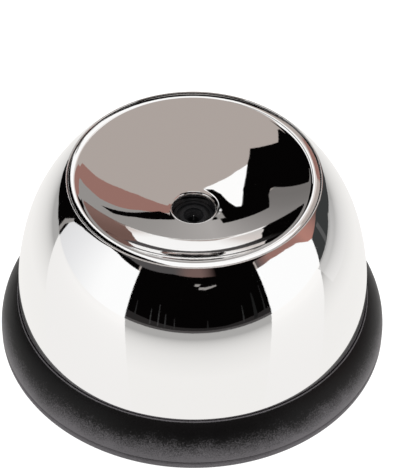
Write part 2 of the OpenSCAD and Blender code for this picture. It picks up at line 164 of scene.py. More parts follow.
def ranged(tree, source, start, end, low, high):
    """Takes a value that runs from start to end to one that runs from low to high."""
    span = node(tree, "ShaderNodeMapRange", From_Min=start, From_Max=end, To_Min=low, To_Max=high)
    link(tree, source, (span, "Value"))
    return span


def stage_piece(name, corners, faces, material):
    """A studio object that is no part of the piercer."""
    mesh = bpy.data.meshes.new(name)
    mesh.from_pydata([tuple(c * MM for c in corner) for corner in corners], [], faces)
    mesh.materials.append(material)
    piece = bpy.data.objects.new(name, mesh)
    scene.collection.objects.link(piece)
    return piece


table_paint, tree, out = empty_material("white_table")
path = node(tree, "ShaderNodeLightPath")
seen = node(tree, "ShaderNodeEmission", Color=(1, 1, 1, 1), Strength=TABLE_SEEN)
shadowed = node(tree, "ShaderNodeBsdfDiffuse", Color=(TABLE_LIT, TABLE_LIT, TABLE_LIT, 1))
both = node(tree, "ShaderNodeAddShader")
link(tree, (seen, 0), (both, 0))
link(tree, (shadowed, 0), (both, 1))
place = node(tree, "ShaderNodeTexCoord")
reach = node(tree, "ShaderNodeVectorMath", operation="LENGTH")
link(tree, (place, "Object"), (reach, 0))
fade = ranged(tree, (reach, "Value"), FADE_START * MM, FADE_END * MM, SHINE_NEAR, SHINE_FAR)
shine = node(tree, "ShaderNodeEmission", Color=(*TABLE_TINT, 1))
link(tree, (fade, 0), (shine, "Strength"))
plain = node(tree, "ShaderNodeBsdfDiffuse", Color=(TABLE_PAINT, TABLE_PAINT, TABLE_PAINT, 1))
by_mirror = chosen(tree, (path, "Is Glossy Ray"), plain, shine)
by_eye = chosen(tree, (path, "Is Camera Ray"), by_mirror, both)
link(tree, (by_eye, 0), (out, "Surface"))

table_corners = []
for k in range(TABLE_SIDES):
    angle = 2 * math.pi * k / TABLE_SIDES
    table_corners.append((TABLE_R * math.cos(angle), TABLE_R * math.sin(angle), TABLE_Z))
stage_piece("table", table_corners, [tuple(range(TABLE_SIDES))], table_paint)


# Panels in front. Polished metal shows its surroundings: here a dark cloth that
# hangs to the table in folds, and above it a valance and a strip of light.
# Mirrors alone see the panels, so they block no view and no light.
PANEL_AT = 900
PANEL_STEP = 6
LAYER_GAP = 25
SAME_CORNER = 1e-5
SECOND_MIRROR = 1.5
FOLD_TOP = (0.6, 0.3)
WHITE = (1.05, 1.05, 1.05)
BLACK = (0.0015, 0.0012, 0.0012)
GREY = (0.30, 0.285, 0.275)
CHARCOAL = (0.10, 0.10, 0.10)
SOOT = (0.08, 0.075, 0.075)
HAZE = (0.022, 0.02, 0.02)
PINK = (0.32, 0.17, 0.145)
SALMON = (0.50, 0.235, 0.19)
CREAM = (0.74, 0.68, 0.655)
UMBER = (0.17, 0.11, 0.10)
DIM = (0.042, 0.044, 0.044)


def maths(tree, operation, *terms):
    """A step of arithmetic in a shader. Each term is a number or a (node, output)."""
    step = node(tree, "ShaderNodeMath", operation=operation)
    for k, term in enumerate(terms):
        if isinstance(term, tuple):
            link(tree, term, (step, k))
        else:
            step.inputs[k].default_value = term
    return step


def glowing(name, corners, faces, colours, twice=False):
    """A studio object that mirrors alone can see, with a colour at each corner. With
    twice, only light that has met two mirrors shows it."""
    paint, tree, out = empty_material(name)
    shade = node(tree, "ShaderNodeVertexColor", layer_name="shade")
    glow = node(tree, "ShaderNodeEmission", Strength=1)
    link(tree, (shade, "Color"), (glow, "Color"))
    if twice:
        path = node(tree, "ShaderNodeLightPath")
        clear = node(tree, "ShaderNodeBsdfTransparent")
        again = maths(tree, "GREATER_THAN", (path, "Ray Depth"), SECOND_MIRROR)
        glow = chosen(tree, (again, 0), clear, glow)
    link(tree, (glow, 0), (out, "Surface"))
    paint.cycles.emission_sampling = "NONE"
    piece = stage_piece(name, corners, faces, paint)
    painted = piece.data.color_attributes.new("shade", "FLOAT_COLOR", "POINT")
    for k, colour in enumerate(colours):
        painted.data[k].color = (*colour, 1)
    piece.visible_camera = False
    piece.visible_diffuse = False
    piece.visible_shadow = False
    piece.visible_transmission = False


def plan(azimuth, away):
    """A place in plan, at an azimuth in degrees: 0 is the camera's side and 90 is +X."""
    angle = math.radians(azimuth)
    return away * math.sin(angle), -away * math.cos(angle)


def along_edges(corners, step):
    """Points along a closed outline, at most step apart."""
    points = []
    for (a0, e0), (a1, e1) in zip(corners, corners[1:] + corners[:1]):
        parts = max(1, math.ceil(math.hypot(a1 - a0, e1 - e0) / step))
        for k in range(parts):
            points.append(Vector((a0 + (a1 - a0) * k / parts, e0 + (e1 - e0) * k / parts)))
    return points


def blended(stops, azimuth):
    """The colour at an azimuth, between stops of (azimuth, colour) in rising order."""
    for (a0, c0), (a1, c1) in zip(stops, stops[1:]):
        if azimuth <= a1:
            part = max(0, (azimuth - a0) / (a1 - a0))
            return tuple(x + (y - x) * part for x, y in zip(c0, c1))
    return stops[-1][1]


def panel(name, corners, stops, layer=0, twice=False):
    """A studio panel or cloth, curved round the piercer. Its corners are (azimuth,
    elevation) in degrees. Its colour is one, or stops of (azimuth, colour). A higher
    layer hangs nearer."""
    outline = along_edges(corners, PANEL_STEP)
    low = [min(p[k] for p in outline) for k in (0, 1)]
    high = [max(p[k] for p in outline) for k in (0, 1)]
    inner = [
        Vector((a, e))
        for a in range(int(low[0]) + PANEL_STEP, int(high[0]), PANEL_STEP)
        for e in range(int(low[1]) + PANEL_STEP, int(high[1]), PANEL_STEP)
    ]
    border = list(range(len(outline)))
    points, _, faces, *_ = geometry.delaunay_2d_cdt(outline + inner, [], [border], 1, SAME_CORNER)
    away = PANEL_AT - LAYER_GAP * layer
    corners_3d = []
    for azimuth, elevation in points:
        lift = math.radians(elevation)
        corners_3d.append((*plan(azimuth, away * math.cos(lift)), away * math.sin(lift)))
    if not isinstance(stops[0], tuple):
        stops = [(0, stops)]
    glowing(name, corners_3d, faces, [blended(stops, azimuth) for azimuth, _ in points], twice)


panel("front_cloth", [(-41.2, -2), (49.2, -2), (48.6, 34), (-40.6, 34)], BLACK, 1)
panel("front_haze", [(-41.2, -2), (49.2, -2), (49.2, 5), (20, 3), (-10, 3.5), (-41.2, 6)], HAZE, 2)
panel("front_foot", [(-41.2, -2), (49.2, -2), (49.2, 1.5), (-41.2, 1.5)], SOOT, 3)
for azimuth, wide, top, bright in (
    (-36, 1.2, 14, 0.02), (-26, 0.8, 12, 0.05), (-21, 0.7, 16, 0.06), (-17, 1.2, 11, 0.03),
    (-11, 0.5, 9, 0.04), (9, 0.8, 8, 0.02), (31, 1, 13, 0.03), (38, 2.5, 18, 0.012), (45, 1, 20, 0.02),
):
    tips = [(azimuth + part * wide, top) for part in FOLD_TOP]
    shade = (bright, bright, bright)
    panel("fold_%+d" % azimuth, [(azimuth, 2), (azimuth + wide, 3)] + tips, shade, 4)
panel("glint_a", [(4, 27.5), (9, 27), (17, 28.5), (17, 29.3), (9, 28.6), (5, 28.8)], GREY, 4)
panel("glint_b", [(1, 29.5), (4, 29.2), (6, 30.6), (2, 30.8)], GREY, 4)
panel(
    "front_valance",
    [(-60, 33), (-40, 33), (-15, 35.5), (24, 34), (24, 50), (-60, 50)],
    [(-60, SOOT), (-14, SOOT), (-4, UMBER), (8, UMBER), (18, BLACK)],
    2,
)
panel("front_top", [(-60, 33), (75, 33), (75, 50), (-60, 50)], BLACK)
panel("front_light", [(-35, 50), (35, 50), (35, 57), (-35, 57)], WHITE)


# Panels at the sides. A white panel on each side of the front cloth, each below a
# cloth: the left one black, the right one warm. Dim strips end them at the back.
panel(
    "left_panel",
    [(-107, -2), (-40, -2), (-40, 30), (-70, 30), (-96, 17), (-103, 12), (-107, 5)],
    [(-107, (0.76, 0.76, 0.77)), (-88, (0.86, 0.86, 0.87)), (-62, WHITE)],
)
panel("left_cloth", [(-120, 8), (-103, 10), (-70, 28), (-42, 28), (-42, 44), (-120, 44)], BLACK, -1)
panel(
    "left_strip",
    [(-109.5, -2), (-107, -2), (-107, 5), (-103, 12), (-104.5, 12.5), (-109.5, 5.5)],
    GREY,
    3,
)
panel(
    "right_panel",
    [(48, -2), (90.5, -2), (95.5, 11), (92, 13), (85, 19.5), (75, 24), (62, 27.5), (48, 28.5)],
    WHITE,
)
panel(
    "right_cloth",
    [
        (50, 26), (75, 20), (93, 10), (97, 9), (118, 2), (122, 10), (110, 18), (100, 26), (88, 31),
        (72, 40), (50, 45),
    ],
    [(52, SOOT), (60, PINK), (84, PINK), (94, SALMON), (104, PINK), (116, DIM)],
    -1,
)
panel("right_dark", [(90.5, -2), (120, -2), (118, 10), (95.5, 11)], DIM)
panel("right_strip", [(102, -2), (105, -2), (107, 9), (104, 10)], CHARCOAL, 1)


# Panels behind. The bowl mirrors these: a grey wall, a white panel over it, a big
# black cloth on the left, and small cards near the middle.
panel(
    "rear_grey",
    [(120, -2), (222, -2), (222, 34), (165, 34), (120, 14)],
    [
        (150, (0.31, 0.295, 0.285)), (165, (0.31, 0.295, 0.285)), (186, (0.42, 0.40, 0.39)),
        (200, (0.27, 0.257, 0.25)), (213, (0.175, 0.165, 0.16)),
    ],
)
panel(
    "rear_panel",
    [
        (176, 35), (241, 35), (241, 57), (225, 61), (205, 62), (193, 61), (186, 59.5), (176, 59.5),
        (170, 58), (165.5, 54), (165.5, 50), (176, 50),
    ],
    WHITE,
    1,
)
panel("cream_card", [(170, 40), (178, 40), (178, 51), (167, 51), (167, 43)], CREAM, 2)
panel(
    "rear_cloth",
    [
        (-105, -3), (-128, -3), (-139.5, 9), (-139.5, 34), (-141, 35), (-145, 32.5), (-152, 23.5),
        (-163, 27), (-169, 28), (-169, 37), (-166, 40), (-166.5, 47), (-169, 51), (-173, 55),
        (-176, 58.5), (-172, 60), (-164, 58), (-160.5, 53), (-160, 45), (-159, 39), (-157, 37.5),
        (-152, 43.5), (-147, 48.5), (-140, 52.5), (-130, 56.5), (-122, 58.5), (-105, 60),
    ],
    BLACK,
    2,
)
panel(
    "warm_card",
    [
        (126, 20), (134, 15), (141, 14.5), (148, 17), (153, 23), (158, 31), (164, 36), (169, 38),
        (169, 44), (157, 43), (149, 41), (142, 36), (135, 27),
    ],
    PINK,
    2,
)
panel(
    "dark_card",
    [
        (152, 13), (156, 14), (160, 23), (167, 30), (172, 33), (192, 33), (193, 29), (196, 29),
        (196, 37), (192, 36), (170, 36), (168, 37), (164, 37), (160, 32),
    ],
    BLACK,
    3,
)
panel("neck_card", [(190, 33), (193.2, 33), (193.2, 41), (192.4, 41), (192, 38), (190, 36.5)], GREY, 4)


# Panels for the bowl's front, which mirrors the bowl's own far side. They show only
# in that second mirror image, in place of the panels that the far side would show.
WARM_EDGE = [(138, 57), (149, 50), (155, 42), (160, 34)]
DARK_EDGE = [(205, 34), (211, 45), (218, 52), (221, 56)]
panel(
    "second_light",
    WARM_EDGE + DARK_EDGE + [(210, 59), (195, 61), (180, 63), (160, 64), (142, 62)],
    [(144, CREAM), (153, WHITE), (195, WHITE), (204, CREAM), (220, (0.6, 0.58, 0.57))],
    5,
    twice=True,
)
panel(
    "second_warm",
    [(116, 34), (122, 48), (130, 54)] + WARM_EDGE + [(160, 20), (140, 18), (122, 24)],
    [(120, (0.25, 0.15, 0.13)), (150, (0.17, 0.10, 0.085))],
    5,
    twice=True,
)
panel(
    "second_dark",
    [(160, 34)] + DARK_EDGE + [(230, 57), (242, 47), (242, 18), (200, 12), (160, 12), (160, 20)],
    [(165, SOOT), (195, SOOT), (205, BLACK)],
    5,
    twice=True,
)


# Cards and sheets on the table. Two low dark cards stand at the back on either side,
# and thin sheets brighten or dim the table where the dome's flanks mirror it.
SHEET_LIFT = 0.5
SHEET_TINT = (1, 0.985, 0.97)


def standing(name, feet, colour):
    """A card that stands on the table along feet: (azimuth, distance, height)."""
    corners = []
    for lift in (0, 1):
        for azimuth, away, height in feet:
            corners.append((*plan(azimuth, away), SHEET_LIFT + lift * height))
    count = len(feet)
    faces = [(k, k + 1, count + k + 1, count + k) for k in range(count - 1)]
    glowing(name, corners, faces, [colour] * len(corners))


def lying(name, places):
    """A sheet that lies on the table. Its places are (azimuth, distance, brightness)."""
    corners = [(*plan(azimuth, away), SHEET_LIFT) for azimuth, away, _ in places]
    shades = [tuple(bright * c for c in SHEET_TINT) for _, _, bright in places]
    glowing(name, corners, [tuple(range(len(places)))], shades)


standing("left_card", [(-113, 700, 160), (-121, 500, 90), (-131, 245, 45), (-141, 150, 28)], BLACK)
standing("right_card", [(118, 700, 90), (131, 285, 40), (141, 155, 26), (148, 110, 20)], DIM)
lying("left_sheet", [(-52, 29, 0.93), (-102.5, 260, 0.92), (-39.1, 260, 1.02), (-18, 29, 0.93)])
lying(
    "left_sheet_far",
    [(-102.5, 260, 0.92), (-106, 920, 0.86), (-75, 920, 1.0), (-41, 920, 1.05), (-39.1, 260, 1.02)],
)
lying("right_sheet", [(23, 29, 0.93), (47, 260, 1.02), (87, 260, 1.02), (44, 29, 0.93)])
lying(
    "right_sheet_far",
    [(47, 260, 1.02), (49, 920, 1.05), (71, 920, 1.05), (91, 920, 1.05), (87, 260, 1.02)],
)
lying("right_table", [(88, 100, 0.87), (88, 240, 0.62), (125, 240, 0.46), (125, 100, 0.82)])
lying("right_table_far", [(88, 240, 0.62), (88, 600, 0.55), (125, 600, 0.42), (125, 240, 0.46)])


# Lamps. Three soft square lamps, left, right and behind, which light the rubber and
# don't show in the chrome. They all face the middle of the piercer.
LAMP_AIM = (0, 0, 15)


def soft_lamp(name, place, size, power):
    """A square soft lamp that mirrors don't show."""
    data = bpy.data.lights.new(name, "AREA")
    data.shape = "SQUARE"
    data.size = size * MM
    data.energy = power
    lamp = bpy.data.objects.new(name, data)
    scene.collection.objects.link(lamp)
    lamp.location = Vector(place) * MM
    lamp.rotation_euler = (Vector(LAMP_AIM) - Vector(place)).to_track_quat("-Z", "Y").to_euler()
    lamp.visible_glossy = False


soft_lamp("lamp_left", (-620, -180, 520), size=420, power=8)
soft_lamp("lamp_right", (560, -260, 420), size=420, power=7)
soft_lamp("lamp_rear", (80, 620, 640), size=500, power=5)


# Base plate. Moulded in black ABS with screw pads, a tray for the weight and a
# boss for the guide tube. Its edge sits in the rubber base.
NOISE_LOW = 0.3
NOISE_HIGH = 0.7
SHADE_START = 0.35
SHADE_END = 0.65
PLATE_BLACK = (0.02, 0.02, 0.021)
PLASTIC_SWING = 0.06


def dressed(name, material):
    """Gives a CAD node, as it stands, a new finish."""
    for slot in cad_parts[name].material_slots:
        slot.material = material


def surface(name, colour, roughness, metallic=0.0):
    """A material, its tree, its surface shader and its place coordinates."""
    material, tree, out = empty_material(name)
    shader = node(tree, "ShaderNodeBsdfPrincipled", Metallic=metallic, Roughness=roughness)
    shader.inputs["Base Color"].default_value = (*colour, 1)
    link(tree, (shader, 0), (out, "Surface"))
    place = node(tree, "ShaderNodeTexCoord")
    return material, tree, shader, place


def toned(colour, factor):
    """A colour made darker or lighter."""
    return tuple(factor * c for c in colour)


def grain(tree, place, grain_mm, detail=4, stretch=(1, 1, 1)):
    """Noise whose features are about grain_mm across, stretched along each axis."""
    shrink = node(tree, "ShaderNodeMapping")
    shrink.inputs["Scale"].default_value = [1 / (grain_mm * MM * s) for s in stretch]
    noise = node(tree, "ShaderNodeTexNoise", Scale=1, Detail=detail, Roughness=0.6)
    link(tree, (place, "Object"), (shrink, 0))
    link(tree, (shrink, 0), (noise, "Vector"))
    return noise


def glossed(tree, shader, source, low, high):
    """Varies the shader's roughness between low and high by a noise."""
    uneven = ranged(tree, (source, 0), NOISE_LOW, NOISE_HIGH, low, high)
    link(tree, (uneven, 0), (shader, "Roughness"))


def bumped(tree, shader, source, height_mm):
    """Raises the shader's surface by a pattern, up to height_mm."""
    bump = node(tree, "ShaderNodeBump", Strength=1, Distance=height_mm * MM)
    link(tree, source, (bump, "Height"))
    link(tree, (bump, 0), (shader, "Normal"))


def shaded(tree, shader, source, dark, light):
    """Colours the shader between two tones by a pattern."""
    ramp = node(tree, "ShaderNodeValToRGB")
    stops = ramp.color_ramp.elements
    stops[0].position = SHADE_START
    stops[0].color = (*dark, 1)
    stops[1].position = SHADE_END
    stops[1].color = (*light, 1)
    link(tree, source, (ramp, "Fac"))
    link(tree, (ramp, 0), (shader, "Base Color"))


def moulded_plastic(name, colour, roughness, grain_mm, height_mm):
    """Moulded plastic with a fine spark-eroded grain and slight gloss changes."""
    material, tree, shader, place = surface(name, colour, roughness)
    fine = grain(tree, place, grain_mm)
    broad = grain(tree, place, grain_mm=9, detail=3)
    glossed(tree, shader, broad, roughness - PLASTIC_SWING, roughness + PLASTIC_SWING)
    bumped(tree, shader, (fine, 0), height_mm)
    return material


dressed("base_plate", moulded_plastic("plate_plastic", PLATE_BLACK, 0.5, grain_mm=0.25, height_mm=0.012))


# Steel weight. A turned ring, zinc plated, that lies loose in the base plate's
# tray under the frame and keeps the piercer from tipping.
STEEL_SWING = 0.08
DULL_TONE = 0.86


def worked_steel(name, colour, roughness, stretch, height_mm=0.004):
    """Steel with tool marks drawn out along the stretched axes."""
    material, tree, shader, place = surface(name, colour, roughness, metallic=1)
    marks = grain(tree, place, grain_mm=0.3, detail=5, stretch=stretch)
    patches = grain(tree, place, grain_mm=5, detail=3)
    glossed(tree, shader, marks, roughness - STEEL_SWING, roughness + STEEL_SWING)
    shaded(tree, shader, (patches, 0), toned(colour, DULL_TONE), colour)
    bumped(tree, shader, (marks, 0), height_mm)
    return material


dressed("steel_weight", worked_steel("weight_steel", (0.42, 0.43, 0.45), 0.36, stretch=(1, 1, 12)))


# Base screws. Three zinc-plated pan heads that pull the frame, and with it the
# dome, down on the base plate.
dressed("base_screws", worked_steel("screw_steel", (0.62, 0.62, 0.6), 0.3, stretch=(1, 1, 1)))


# Sole disc. Fine-celled foam rubber die-cut to a disc and stuck over the screws,
# inside the rubber base's foot ring.
FOAM_CELL = 0.35
PIT_SHADE_TONE = 0.5


def foam_rubber(name, colour):
    """Black foam with small open cells, with painted shade in their pits."""
    material, tree, shader, place = surface(name, colour, roughness=0.85)
    cells = node(tree, "ShaderNodeTexVoronoi", Scale=1 / (FOAM_CELL * MM))
    link(tree, (place, "Object"), (cells, "Vector"))
    # Painted shade: the cells are darker where the bump sinks them.
    shaded(tree, shader, (cells, "Distance"), toned(colour, PIT_SHADE_TONE), colour)
    bumped(tree, shader, (cells, "Distance"), height_mm=0.06)
    return material


dressed("sole_disc", foam_rubber("sole_foam", (0.035, 0.035, 0.036)))


# Guide tube, needle holder, needle. A ground steel tube with a brass slug inside
# that carries the hardened needle, both pressed in from below.
dressed("guide_tube", worked_steel("tube_steel", (0.66, 0.66, 0.66), 0.22, stretch=(1, 1, 0.2)))
dressed("needle_holder", worked_steel("holder_brass", (0.72, 0.52, 0.24), 0.28, stretch=(1, 1, 0.2)))
needle_steel = worked_steel(
    "needle_steel", (0.78, 0.78, 0.77), 0.18, stretch=(0.3, 0.3, 6), height_mm=0.001
)
dressed("needle", needle_steel)


# Inner frame. Three hollow columns and a ring in black ABS, which hold the dome's
# upper edge and keep the dish from turning.
FRAME_BLACK = (0.024, 0.024, 0.025)

dressed("inner_frame", moulded_plastic("frame_plastic", FRAME_BLACK, 0.48, grain_mm=0.3, height_mm=0.01))


# Stop ring, washers, spring. A rubber ring ends the stroke; two stamped washers
# seat the spring that lifts the dish. It is coiled from drawn wire, with flat end
# turns.
SPRING_WIRE = 1
SPRING_TURNS = 7
SPRING_END_PITCH = 1.02
SPRING_STEPS = 48
SPRING_SIDES = 16
BLOOM_TONE = 1.5


def plain_rubber(name, colour, roughness):
    """Plain black rubber with a fine bloom."""
    material, tree, shader, place = surface(name, colour, roughness)
    bloom = grain(tree, place, grain_mm=1.6, detail=5)
    shaded(tree, shader, (bloom, 0), colour, toned(colour, BLOOM_TONE))
    fine = grain(tree, place, grain_mm=0.15)
    bumped(tree, shader, (fine, 0), height_mm=0.01)
    return material


dressed("stop_ring", plain_rubber("stop_rubber", (0.02, 0.02, 0.02), 0.6))
washer_steel = worked_steel("washer_steel", (0.6, 0.6, 0.6), 0.32, stretch=(1, 1, 1))
dressed("lower_washer", washer_steel)
dressed("upper_washer", washer_steel)


def built(name, corners, faces, material, body, replaced, sharp_angle=35):
    """A piece with its own mesh, its corners in millimetres, in place of a CAD node."""
    mesh = bpy.data.meshes.new(name)
    mesh.from_pydata([tuple(c * MM for c in corner) for corner in corners], [], faces)
    shell = bmesh.new()
    shell.from_mesh(mesh)
    bmesh.ops.recalc_face_normals(shell, faces=shell.faces)
    shell.to_mesh(mesh)
    shell.free()
    mesh.shade_smooth()
    mesh.set_sharp_from_angle(angle=math.radians(sharp_angle))
    mesh.materials.append(material)
    piece = bpy.data.objects.new(name, mesh)
    scene.collection.objects.link(piece)
    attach(piece, body)
    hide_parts(replaced)
    return piece


spring_low, spring_high = (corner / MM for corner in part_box("return_spring"))
wire_r = SPRING_WIRE / 2
coil_r = spring_high.x - wire_r
end_rise = SPRING_WIRE * SPRING_END_PITCH
open_rise = spring_high.z - spring_low.z - SPRING_WIRE - 2 * end_rise
rings = SPRING_TURNS * SPRING_STEPS
corners = []
for i in range(rings + 1):
    turn = i / SPRING_STEPS
    opened = min(max((turn - 1) / (SPRING_TURNS - 2), 0), 1)
    ends = min(turn, 1) + max(turn - SPRING_TURNS + 1, 0)
    wire_z = spring_low.z + wire_r + open_rise * opened + end_rise * ends
    angle = 2 * math.pi * turn
    for k in range(SPRING_SIDES):
        side = 2 * math.pi * k / SPRING_SIDES
        r = coil_r + wire_r * math.cos(side)
        corners.append((r * math.cos(angle), r * math.sin(angle), wire_z + wire_r * math.sin(side)))
faces = [list(range(SPRING_SIDES)), [rings * SPRING_SIDES + k for k in range(SPRING_SIDES)]]
for i in range(rings):
    for k in range(SPRING_SIDES):
        here = i * SPRING_SIDES + k
        beside = i * SPRING_SIDES + (k + 1) % SPRING_SIDES
        faces.append((here, here + SPRING_SIDES, beside + SPRING_SIDES, beside))
spring_steel = worked_steel("spring_steel", (0.5, 0.5, 0.5), 0.3, stretch=(3, 3, 0.5))
spring = built("spring", corners, faces, spring_steel, "base", "return_spring")
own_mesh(spring)


# Dish carrier. Black ABS hub, ribbed web, rim and stop flange below the dish,
# with three dark felt arcs on the flange that quiet the return stroke.
NAP_TONE = 1.9


def felt(name, colour):
    """Pressed wool felt: matted fibres with a soft nap."""
    material, tree, shader, place = surface(name, colour, roughness=0.95)
    fibres = grain(tree, place, grain_mm=0.12, detail=6, stretch=(4, 1, 1))
    shaded(tree, shader, (fibres, 0), colour, toned(colour, NAP_TONE))
    bumped(tree, shader, (fibres, 0), height_mm=0.05)
    shader.inputs["Sheen Weight"].default_value = 0.3
    return material


carrier_plastic = moulded_plastic("carrier_plastic", PLATE_BLACK, 0.42, grain_mm=0.25, height_mm=0.01)
dressed("dish_carrier", carrier_plastic)
dressed("felt_pads", felt("pad_felt", (0.05, 0.05, 0.05)))


# Needle bush. Black acetal turned to a press fit in the dish's hole, with stepped
# rings round a countersunk bore that the needle comes up through.
TOOL_PITCH = 0.22


def turned_acetal(name, colour, roughness):
    """Turned plastic: tool rings round the axis on a soft gloss."""
    material, tree, shader, place = surface(name, colour, roughness)
    flat = node(tree, "ShaderNodeVectorMath", operation="MULTIPLY")
    flat.inputs[1].default_value = (1, 1, 0)
    link(tree, (place, "Object"), (flat, 0))
    reach = node(tree, "ShaderNodeVectorMath", operation="LENGTH")
    link(tree, (flat, 0), (reach, 0))
    turns = maths(tree, "MULTIPLY", (reach, "Value"), 2 * math.pi / (TOOL_PITCH * MM))
    waves = maths(tree, "SINE", (turns, 0))
    bumped(tree, shader, (waves, 0), height_mm=0.006)
    shader.inputs["Specular IOR Level"].default_value = 0.15
    return material


dressed("needle_bush", turned_acetal("bush_plastic", (0.005, 0.005, 0.0055), 0.3))


# Dome. Drawn from one steel sheet, polished and chromed. Its sides stand upright
# at the foot and lean in on two arcs, and the opening's edge is turned down sharply.
DOME_R = 28.9
DOME_WALL = 0.7
DOME_FOOT_Z = 3.6
DOME_UPRIGHT_Z = 9.6
DOME_LOWER_ARC = 47
DOME_LOWER_ANGLE = 15
DOME_UPPER_ARC = 30
DOME_LIP_R = 0.15
DOME_LIP_DROP = 2.9
DISH_R = 20.12
DISH_GAP = 0.12
TURNS = 288
WIPED_CLEAR = 0.6
WIPED_HAZY = 1.5
SAME_POINT = 1e-4


def arc(centre, radius, start, end, step):
    """Points on an arc in the section plane, from one angle to another in degrees."""
    parts = max(2, math.ceil(abs(end - start) / step))
    angles = [math.radians(start + (end - start) * k / parts) for k in range(parts + 1)]
    return [(centre[0] + radius * math.cos(a), centre[1] + radius * math.sin(a)) for a in angles]


def straight(start, end, step):
    """Points from start to end, at most step apart."""
    parts = max(1, math.ceil(math.dist(start, end) / step))
    return [
        (start[0] + (end[0] - start[0]) * k / parts, start[1] + (end[1] - start[1]) * k / parts)
        for k in range(parts + 1)
    ]


def heading(a, b):
    """Direction from a to b, in degrees."""
    return math.degrees(math.atan2(b[1] - a[1], b[0] - a[0]))


def crown(centre, radius, r):
    """The point on the upper side of a circle that lies at distance r from the axis."""
    return (r, centre[1] + math.sqrt(radius ** 2 - (r - centre[0]) ** 2))


def turned(name, outline, material, body, replaced, sharp_angle=35):
    """A closed section outline turned round the axis, in place of a CAD node."""
    points = []
    for point in outline:
        if not points or math.dist(point, points[-1]) > SAME_POINT:
            points.append(point)
    if math.dist(points[0], points[-1]) < SAME_POINT:
        points.pop()
    count = len(points)
    corners = []
    faces = []
    for k in range(TURNS):
        angle = 2 * math.pi * k / TURNS
        here = k * count
        following = (k + 1) % TURNS * count
        for i, (r, z) in enumerate(points):
            j = (i + 1) % count
            corners.append((r * math.cos(angle), r * math.sin(angle), z))
            faces.append((here + i, following + i, following + j, here + j))
    built(name, corners, faces, material, body, replaced, sharp_angle)


def polished_chrome(name, colour, roughness):
    """Mirror chrome over polished steel: faint polishing lines and wipe marks."""
    material, tree, shader, place = surface(name, colour, roughness, metallic=1)
    wipes = grain(tree, place, grain_mm=14, detail=3)
    glossed(tree, shader, wipes, roughness * WIPED_CLEAR, roughness * WIPED_HAZY)
    lines = grain(tree, place, grain_mm=0.12, stretch=(1, 1, 18))
    bumped(tree, shader, (lines, 0), height_mm=0.0006)
    return material


lower_c = (DOME_R - DOME_LOWER_ARC, DOME_UPRIGHT_Z)
arc_step = DOME_LOWER_ARC - DOME_UPPER_ARC
upper_c = (
    lower_c[0] + arc_step * math.cos(math.radians(DOME_LOWER_ANGLE)),
    lower_c[1] + arc_step * math.sin(math.radians(DOME_LOWER_ANGLE)),
)
opening_r = DISH_R + DISH_GAP
lip_c = crown(upper_c, DOME_UPPER_ARC - DOME_LIP_R, opening_r + DOME_LIP_R)
lip_angle = heading(upper_c, lip_c)
lip_end_z = lip_c[1] - DOME_LIP_DROP
inner_arc = DOME_UPPER_ARC - DOME_WALL
lip_out = crown(upper_c, inner_arc, opening_r + DOME_WALL)
dome_outline = (
    straight((DOME_R, DOME_FOOT_Z), (DOME_R, DOME_UPRIGHT_Z), step=1.5)
    + arc(lower_c, DOME_LOWER_ARC, 0, DOME_LOWER_ANGLE, step=0.5)
    + arc(upper_c, DOME_UPPER_ARC, DOME_LOWER_ANGLE, lip_angle, step=0.5)
    + arc(lip_c, DOME_LIP_R, lip_angle, 180, step=5)
    + [(opening_r, lip_end_z), (lip_out[0], lip_end_z)]
    + arc(upper_c, inner_arc, heading(upper_c, lip_out), DOME_LOWER_ANGLE, step=2)
    + arc(lower_c, DOME_LOWER_ARC - DOME_WALL, DOME_LOWER_ANGLE, 0, step=2)
    + [(DOME_R - DOME_WALL, DOME_FOOT_Z)]
)
dome_chrome = polished_chrome("dome_chrome", (0.93, 0.93, 0.93), 0.025)
turned("dome", dome_outline, dome_chrome, "base", "dome_shell")


# Egg dish. Pressed from steel sheet and chromed: a narrow rim, a soft shoulder into
# the bowl, a turned-down edge, and a hole whose collar holds the needle bush.
DISH_DROP = 0.15
DISH_WALL = 0.6
DISH_EDGE_R = 0.1
RIM_TILT = 4
SHOULDER_R = 1.7
SHOULDER_IN = 0.78
BOWL_DEPTH = 6.7
HOLE_R = 3.35
HOLE_LIP_R = 0.9
COLLAR_H = 2.6
SKIRT_LOW_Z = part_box("egg_dish")[0].z / MM

dish_top_z = lip_c[1] + DOME_LIP_R - DISH_DROP
shoulder_c = (DISH_R - SHOULDER_IN, dish_top_z - SHOULDER_R)
slope = math.radians(RIM_TILT)
rim_in = (shoulder_c[0] + SHOULDER_R * math.sin(slope), shoulder_c[1] + SHOULDER_R * math.cos(slope))
edge_c_r = DISH_R - DISH_EDGE_R
edge_c = (
    edge_c_r,
    rim_in[1] - DISH_EDGE_R / math.cos(slope) - (edge_c_r - rim_in[0]) * math.tan(slope),
)
bowl_floor_z = dish_top_z - BOWL_DEPTH
deep = shoulder_c[1] - bowl_floor_z
bowl_arc = (shoulder_c[0] ** 2 + deep ** 2 - SHOULDER_R ** 2) / (2 * (SHOULDER_R + deep))
bowl_c = (0, bowl_floor_z + bowl_arc)
shoulder_angle = heading(shoulder_c, bowl_c)
hole_c_r = HOLE_R + HOLE_LIP_R
hole_c = (hole_c_r, bowl_c[1] - math.sqrt((bowl_arc + HOLE_LIP_R) ** 2 - hole_c_r ** 2))
hole_angle = heading(hole_c, bowl_c)
collar_low_z = hole_c[1] - COLLAR_H
skirt_in_r = DISH_R - DISH_WALL
